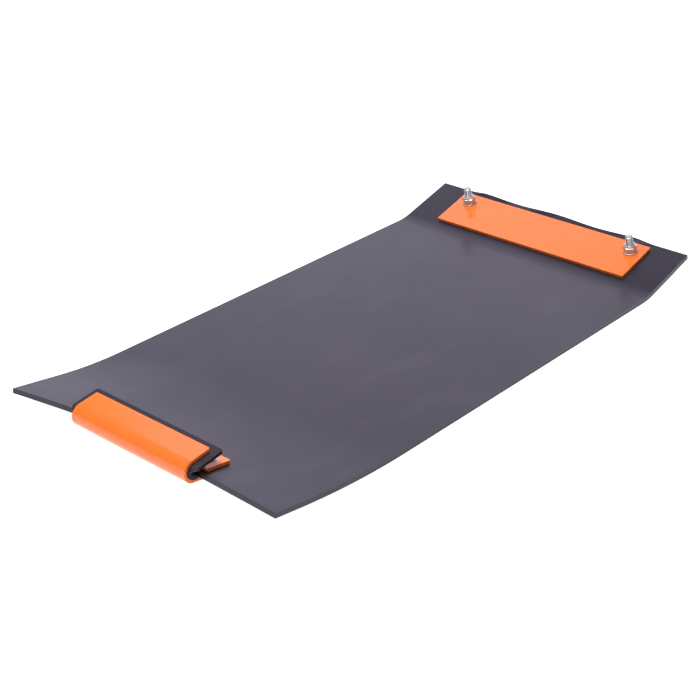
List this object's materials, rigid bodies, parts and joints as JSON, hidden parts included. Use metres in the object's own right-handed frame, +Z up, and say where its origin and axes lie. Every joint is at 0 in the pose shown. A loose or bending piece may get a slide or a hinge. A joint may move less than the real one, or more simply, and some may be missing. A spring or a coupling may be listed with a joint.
{
  "type": "plate compactor paving mat",
  "caption": "Flexible rubber paving mat with upturned ends, a lined steel hook bracket in front and a bolted steel clamp bar at the rear that lifts as its nuts are undone.",
  "frame": {"origin": "centre of the whole object's bounding box, on the ground under the mat", "axes": "+X across the mat, +Y from the hook end towards the clamp bar, +Z up off the ground"},
  "size_m": [0.32, 0.6186, 0.0418],
  "materials": {
    "mat_rubber": "satin, smooth, faintly scuffed",
    "liner_rubber": "matt black sheet rubber",
    "orange_paint": "glossy powder coat with slight orange peel",
    "zinc_steel": "bright zinc plate",
    "nylon": "translucent nylon, matt"
  },
  "bodies": {
    "mat_body": {"mat": "mat_rubber", "hook_bracket": "orange_paint", "hook_liner": "liner_rubber", "front_clamp_strip": "orange_paint", "front_bolt_left": "zinc_steel", "front_bolt_right": "zinc_steel", "front_lock_washer_left": "zinc_steel", "front_lock_washer_right": "zinc_steel", "front_nut_left": "zinc_steel", "front_nut_right": "zinc_steel", "rear_bolt_left": "zinc_steel", "rear_bolt_right": "zinc_steel", "rear_backing_washer_left": "zinc_steel", "rear_backing_washer_right": "zinc_steel"},
    "clamp_bar_body": {"rear_clamp_bar": "orange_paint", "rear_washer_left": "zinc_steel", "rear_washer_right": "zinc_steel"},
    "nut_left_body": {"rear_nut_left": "zinc_steel", "rear_nut_insert_left": "nylon"},
    "nut_right_body": {"rear_nut_right": "zinc_steel", "rear_nut_insert_right": "nylon"}
  },
  "joints": [
    {"name": "clamp_bar_lift", "type": "slide", "parent": "mat_body", "child": "clamp_bar_body", "axis": [0, -0.2588, 0.9659], "range_m": [0, 0.008]},
    {"name": "nut_left_spin", "type": "hinge", "parent": "clamp_bar_body", "child": "nut_left_body", "pos_m": [-0.106, 0.28458, 0.02324], "axis": [0, -0.2588, 0.9659], "range_deg": [0, 2305]},
    {"name": "nut_right_spin", "type": "hinge", "parent": "clamp_bar_body", "child": "nut_right_body", "pos_m": [0.106, 0.28458, 0.02324], "axis": [0, -0.2588, 0.9659], "range_deg": [0, 2305]}
  ],
  "couplings": [
    {"joint": "nut_left_spin", "follows": "clamp_bar_lift", "rad_per_m": 5026.5},
    {"joint": "nut_right_spin", "follows": "clamp_bar_lift", "rad_per_m": 5026.5}
  ]
}
